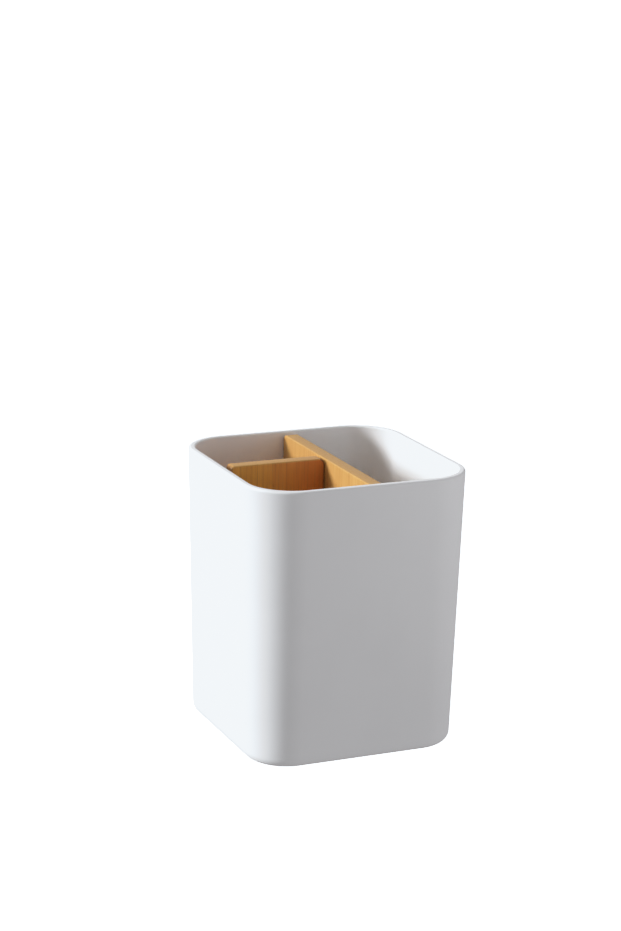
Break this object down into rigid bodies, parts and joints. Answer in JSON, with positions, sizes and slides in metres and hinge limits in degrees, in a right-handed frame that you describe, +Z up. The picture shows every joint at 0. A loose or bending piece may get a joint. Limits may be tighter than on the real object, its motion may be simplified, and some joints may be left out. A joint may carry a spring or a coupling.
{
  "type": "toothbrush holder",
  "caption": "Square tapered cup with large rounded corners and a lift-out T-shaped wooden divider that makes three open compartments.",
  "frame": {"origin": "middle of the footprint, on the surface that the feet stand on", "axes": "+Z up along the height, +X right along the front wall, +Y from the front wall to the back wall"},
  "size_m": [0.084, 0.084, 0.102],
  "materials": {
    "cup_plastic": "white moulded plastic, fine matte texture with a soft sheen",
    "bamboo": "warm tan bamboo with fine upright grain and a thin satin lacquer",
    "pin_wood": "plain turned wood, unlacquered",
    "soft_foot": "soft matte light grey rubber"
  },
  "bodies": {
    "cup": {"moulded_cup": "cup_plastic", "front_left_foot": "soft_foot", "front_right_foot": "soft_foot", "back_left_foot": "soft_foot", "back_right_foot": "soft_foot"},
    "divider": {"long_divider_board": "bamboo", "short_divider_board": "bamboo", "lower_joint_pin": "pin_wood", "upper_joint_pin": "pin_wood"}
  },
  "joints": [
    {"name": "divider_lift", "type": "slide", "parent": "cup", "child": "divider", "axis": [0, 0, 1], "range_m": [0, 0.105]}
  ]
}
